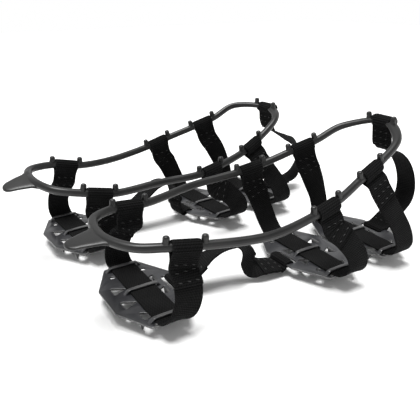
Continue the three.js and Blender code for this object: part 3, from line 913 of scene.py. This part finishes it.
def punch_outline(x, y):
    """The opening left by a folded tooth: it narrows from the fold to a point next to the strap."""
    outward = math.copysign(1, x)
    base, point, half = x + outward * FOLD_ROOM, x - outward * TOOTH_LENGTH, TOOTH_WIDTH / 2
    corners = [(base, y + half), (point, y - 0.6), (base, y - half)]
    return rounded(corners, (1.3, 0.7, 1.9))


def flat_solid(outlines, low, high, bevel):
    """Vertices and faces of flat metal with rounded edges: the first outline's inside less the other outlines."""
    curve = bpy.data.curves.new("outline", "CURVE")
    curve.dimensions = "2D"
    curve.fill_mode = "BOTH"
    curve.extrude = (high - low) / 2 - bevel
    curve.bevel_depth = bevel
    curve.bevel_resolution = 2
    curve.offset = -bevel
    for outline in outlines:
        spline = curve.splines.new("POLY")
        spline.points.add(len(outline) - 1)
        for point, (x, y) in zip(spline.points, outline):
            point.co = (x, y, 0, 1)
        spline.use_cyclic_u = True
    holder = bpy.data.objects.new("outline", curve)
    mesh = bpy.data.meshes.new_from_object(holder)
    tidy = bmesh.new()
    tidy.from_mesh(mesh)
    bmesh.ops.remove_doubles(tidy, verts=tidy.verts, dist=1e-4)
    bmesh.ops.dissolve_degenerate(tidy, edges=tidy.edges, dist=1e-4)
    tidy.verts.ensure_lookup_table()
    middle = (low + high) / 2
    vertices = [(v.co.x, v.co.y, v.co.z + middle) for v in tidy.verts]
    faces = [[v.index for v in face.verts] for face in tidy.faces]
    tidy.free()
    bpy.data.objects.remove(holder)
    bpy.data.curves.remove(curve)
    bpy.data.meshes.remove(mesh)
    return np.array(vertices), faces


TOOTH_ROOT_HALF_WIDTH = 4.3
TOOTH_FOLD = 1.0  # radius of the fold at a tooth's root
TOOTH_HEIGHTS = [5.6, 3.6, 1.8, 0.7, 0.12]  # of the rows below the fold
TOOTH_SECTION = [(-1, 0.4), (-0.96, 1), (0.96, 1), (1, 0.4), (1, -0.4), (0.96, -1), (-0.96, -1), (-1, -0.4)]


def tooth_rows(x, y):
    """A pointed tooth folded down from the outer side of its opening."""
    outward = math.copysign(1, x)
    middle = x + outward * PLATE_THICKNESS / 2
    plate_middle = PLATE_TOP - PLATE_THICKNESS / 2
    path = [(middle + outward * (TOOTH_FOLD + 0.9), plate_middle, 0.0)]
    for angle in np.radians(np.linspace(0, 90, 6)):
        path.append((
            middle + outward * TOOTH_FOLD * (1 - math.sin(angle)),
            plate_middle - TOOTH_FOLD * (1 - math.cos(angle)),
            angle,
        ))
    root = plate_middle - TOOTH_FOLD
    path += [(middle, z, math.pi / 2) for z in TOOTH_HEIGHTS]
    rows = []
    for px, pz, angle in path:
        share = np.clip((root - pz) / root, 0, 1)
        half = TOOTH_ROOT_HALF_WIDTH * (1 - share**1.25) + 0.55 * share
        thin = (PLATE_THICKNESS / 2 - 0.05) * (1 - 0.35 * share**3)
        normal = np.array((-outward * math.sin(angle), 0, math.cos(angle)))
        rows.append([np.array((px, y + a * half, pz)) + normal * h * thin for a, h in TOOTH_SECTION])
    return np.array(rows)


BRIDGE_HALF_WIDTH = 1.5
BRIDGE_HALF_THICKNESS = 0.62
BRIDGE_HALF_SPAN = 11.5
BRIDGE_OVER_STRAP = 0.45


def bridge_rows(y):
    """A bar lanced from the plate and raised over the strap on a short ramp at each side."""
    top = PLATE_TOP + STRAP_CLEARANCE + STRAP_THICKNESS + BRIDGE_OVER_STRAP + BRIDGE_HALF_THICKNESS
    low = PLATE_TOP - BRIDGE_HALF_THICKNESS - 0.1
    points = [
        (-BRIDGE_HALF_SPAN - 4.2, low),
        (-BRIDGE_HALF_SPAN - 2.6, low + 0.15),
        (-BRIDGE_HALF_SPAN - 1.0, (low + top) / 2),
        (-BRIDGE_HALF_SPAN + 0.6, top - 0.25),
        (-BRIDGE_HALF_SPAN + 2.6, top),
        (0, top + 0.15),
    ]
    points += [(-x, z) for x, z in reversed(points[:-1])]
    path = Route([(x, y, z) for x, z in points])
    s = np.linspace(0, path.length, 46)
    centre, along = path.at(s), path.along(s)
    across = np.tile(LEFTWARD, (len(s), 1))
    normal = np.cross(along, across)
    section = [
        (-1, -0.55), (-1, 0.55), (-0.93, 0.9), (-0.8, 1), (0.8, 1), (0.93, 0.9), (1, 0.55), (1, -0.55), (0.93, -0.9),
        (0.8, -1), (-0.8, -1), (-0.93, -0.9),
    ]
    rows = [
        [c + a * p * BRIDGE_HALF_WIDTH + n * q * BRIDGE_HALF_THICKNESS for p, q in section]
        for c, a, n in zip(centre, across, normal)
    ]
    return np.array(rows)


EDGE_BEVEL = 0.3
PLATE_CORNER_RADIUS = 3.0
PLATE_SHARP_ANGLE = 38
HOLE_SIDES = 24


def round_hole(centre, radius):
    return arc(centre, radius, 0, 360 - 360 / HOLE_SIDES, HOLE_SIDES)


def make_plate(cleat, where, plate):
    outlines = [rounded(plate_corners(), [PLATE_CORNER_RADIUS] * 8)]
    for side in (1, -1):
        for end in (1, -1):
            outlines.append(round_hole((side * PIN_HOLE[0], end * PIN_HOLE[1]), PIN_HOLE_RADIUS))
    outlines += [round_hole(hole, FIXING_HOLE_RADIUS) for hole in FIXING_HOLES]
    outlines.append(slot_outline())
    outlines += [punch_outline(x, y) for x, y in TEETH]
    shape = Shape()
    vertices, faces = flat_solid(outlines, PLATE_TOP - PLATE_THICKNESS, PLATE_TOP, EDGE_BEVEL)
    shape.add(vertices, faces)
    for x, y in TEETH:
        shape.tube(tooth_rows(x, y))
    for y in BRIDGE_AT:
        shape.tube(bridge_rows(y))
    points = np.array(shape.vertices)
    worn = worn_edges(points)
    if where == "ball":
        points[:, :2] *= -1
    shape.vertices = list(points + (plate[0], plate[1], 0))
    name = cleat["name"] + "_" + where
    piece = made(cleat, name + "_steel_plate", shape, [STEEL], PLATE_SHARP_ANGLE)
    attribute = piece.data.attributes.new("worn", "FLOAT", "POINT")
    attribute.data.foreach_set("value", worn.astype(np.float32))
    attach(piece, name + "_sling")
    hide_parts(name + "_plate")


RIM_WORN, TIP_WORN, BRIDGE_WORN = 0.75, 0.9, 0.45
TIP_HEIGHT = 3  # the teeth are worn below this
BRIDGE_TOP = 2.6  # the bridges are worn higher than this above the plate


def worn_edges(points):
    """How far the coating is worn off at each vertex: the rims, the teeth's points and the bridges' tops."""
    z = points[:, 2]
    rim = np.abs(z - (PLATE_TOP - PLATE_THICKNESS / 2)) < PLATE_THICKNESS / 2 - 0.05
    worn = np.where(rim, RIM_WORN, 0.0)
    worn = np.maximum(worn, np.where(z < TIP_HEIGHT, TIP_WORN, 0))
    return np.maximum(worn, np.where(z > PLATE_TOP + BRIDGE_TOP, BRIDGE_WORN, 0))


# ------------------------------------------------------------------ assembly
for cleat in CLEATS:
    route = Route(cleat["ring_points"], closed=True)
    loops = loop_lengths(cleat, route)
    make_ring(cleat, route, loops)
    make_pull_tab(cleat, route)
    for where, plate in cleat["plates"].items():
        make_plate(cleat, where, plate)
        make_sling_strap(cleat, route, loops, where, plate)
    make_link_strap(cleat)
    make_toe_hoop(cleat, route)


# ------------------------------------------------------------------ floor, light and camera
FLOOR_SIZE = 6.0
floor_mesh = bpy.data.meshes.new("floor")
reach = FLOOR_SIZE / 2
floor_corners = [(-reach, -reach, 0), (reach, -reach, 0), (reach, reach, 0), (-reach, reach, 0)]
floor_mesh.from_pydata(floor_corners, [], [(0, 1, 2, 3)])
floor_mesh.materials.append(floor_material())
floor = bpy.data.objects.new("floor", floor_mesh)
bpy.context.scene.collection.objects.link(floor)


def look_at(thing, place, target, roll=0.0):
    facing = (Vector(target) - Vector(place)).to_track_quat("-Z", "Y").to_matrix().to_4x4()
    thing.matrix_world = Matrix.Translation(place) @ facing @ Matrix.Rotation(roll, 4, "Z")


def soft_sun(place, spread, strength):
    light = bpy.data.lights.new("key", "SUN")
    light.energy = strength
    light.angle = math.radians(spread)
    holder = bpy.data.objects.new("key", light)
    bpy.context.scene.collection.objects.link(holder)
    look_at(holder, place, (0, 0, 0))


def studio_world(levels):
    """Soft surroundings, brighter low down than overhead. levels are (height on the sky's unit ball, strength)."""
    world = bpy.data.worlds.new("studio")
    world.use_nodes = True
    tree = world.node_tree
    place = tree.nodes.new("ShaderNodeTexCoord")
    split = tree.nodes.new("ShaderNodeSeparateXYZ")
    ramp = tree.nodes.new("ShaderNodeValToRGB")
    tree.links.new(place.outputs["Generated"], split.inputs["Vector"])
    tree.links.new(split.outputs["Z"], ramp.inputs["Fac"])
    tree.links.new(ramp.outputs["Color"], tree.nodes["Background"].inputs["Color"])
    stops = ramp.color_ramp.elements
    while len(stops) < len(levels):
        stops.new(0.5)
    for stop, (height, strength) in zip(stops, levels):
        stop.position = height
        stop.color = (strength, strength, strength, 1.0)
    bpy.context.scene.world = world


SKY = [(0.0, 1.0), (0.07, 1.0), (0.16, 0.65), (0.5, 0.65), (0.75, 0.3)]
SUN_AT = (-0.06, 0.12, 1.0)
SUN_SPREAD = 34  # degrees across, which gives the shadows their soft edges
SUN_STRENGTH = 4.4
bpy.context.scene.view_settings.view_transform = "Standard"
studio_world(SKY)
soft_sun(SUN_AT, SUN_SPREAD, SUN_STRENGTH)

CAMERA_AT = (-0.2302, -0.3336, 0.2050)
CAMERA_TARGET = (-0.0173, -0.0129, 0.0400)
CAMERA_ROLL = math.radians(-0.37)
CAMERA_LENS = 42.86
CAMERA_SENSOR = 36
camera_data = bpy.data.cameras.new("camera")
camera_data.sensor_width = CAMERA_SENSOR
camera_data.lens = CAMERA_LENS
camera_data.clip_start = 0.01
camera = bpy.data.objects.new("camera", camera_data)
bpy.context.scene.collection.objects.link(camera)
look_at(camera, CAMERA_AT, CAMERA_TARGET, CAMERA_ROLL)
bpy.context.scene.camera = camera
